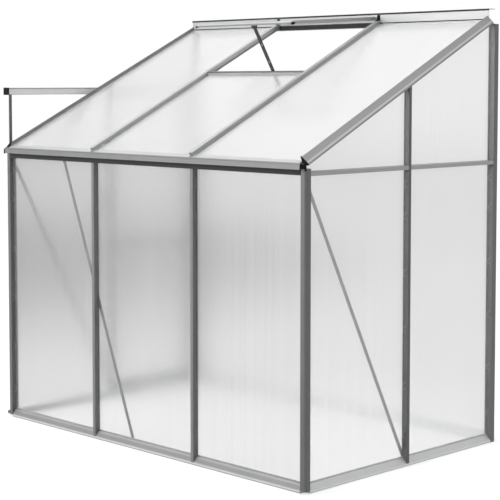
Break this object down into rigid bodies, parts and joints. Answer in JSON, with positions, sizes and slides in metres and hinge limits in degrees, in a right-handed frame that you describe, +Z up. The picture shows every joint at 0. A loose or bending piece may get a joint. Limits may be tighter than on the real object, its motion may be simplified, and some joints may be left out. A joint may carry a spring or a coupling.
{
  "type": "lean-to greenhouse",
  "caption": "Lean-to greenhouse with an aluminium frame, translucent twin-wall panels, a gutter, a propped roof vent, a sliding gable door and an open back for a house wall.",
  "frame": {"origin": "centre of the footprint's box, on the ground", "axes": "+X along the front towards the right gable, +Y from the front towards the house wall, +Z up"},
  "size_m": [1.971, 1.236, 1.8706],
  "materials": {
    "aluminium": "mill finish, satin",
    "sheet": "translucent twin-wall sheet, glossy skins over fine upright flutes",
    "black_plastic": "moulded, matt"
  },
  "bodies": {
    "frame": {"base_front": "aluminium", "base_right": "aluminium", "base_left": "aluminium", "base_back": "aluminium", "front_left_post": "aluminium", "front_right_post": "aluminium", "back_left_post": "aluminium", "back_right_post": "aluminium", "front_left_mullion": "aluminium", "front_right_mullion": "aluminium", "right_mullion": "aluminium", "left_mullion": "aluminium", "eave_gutter": "aluminium", "end_caps": "black_plastic", "right_rails": "aluminium", "left_rails": "aluminium", "left_end_rafter": "aluminium", "right_end_rafter": "aluminium", "left_rafter": "aluminium", "right_rafter": "aluminium", "ridge_bar": "aluminium", "front_left_panel": "sheet", "front_middle_panel": "sheet", "front_right_panel": "sheet", "right_front_panel": "sheet", "right_back_panel": "sheet", "right_front_top_panel": "sheet", "right_back_top_panel": "sheet", "left_front_panel": "sheet", "left_front_top_panel": "sheet", "over_door_panel": "sheet", "roof_left_panel": "sheet", "roof_middle_panel": "sheet", "roof_right_panel": "sheet", "vent_sill": "aluminium", "vent_sash": "aluminium", "vent_panel": "sheet", "vent_stay": "black_plastic", "front_brace": "aluminium", "right_brace": "aluminium", "left_brace": "aluminium", "door_track": "aluminium", "track_strut": "aluminium", "door_guide": "aluminium"},
    "door": {"door_stiles": "aluminium", "door_rails": "aluminium", "door_lower_panel": "sheet", "door_upper_panel": "sheet", "door_hangers": "black_plastic", "door_handle": "black_plastic"}
  },
  "joints": [
    {"name": "door_slide", "type": "slide", "parent": "frame", "child": "door", "axis": [0, -1, 0], "range_m": [0, 0.565]}
  ]
}
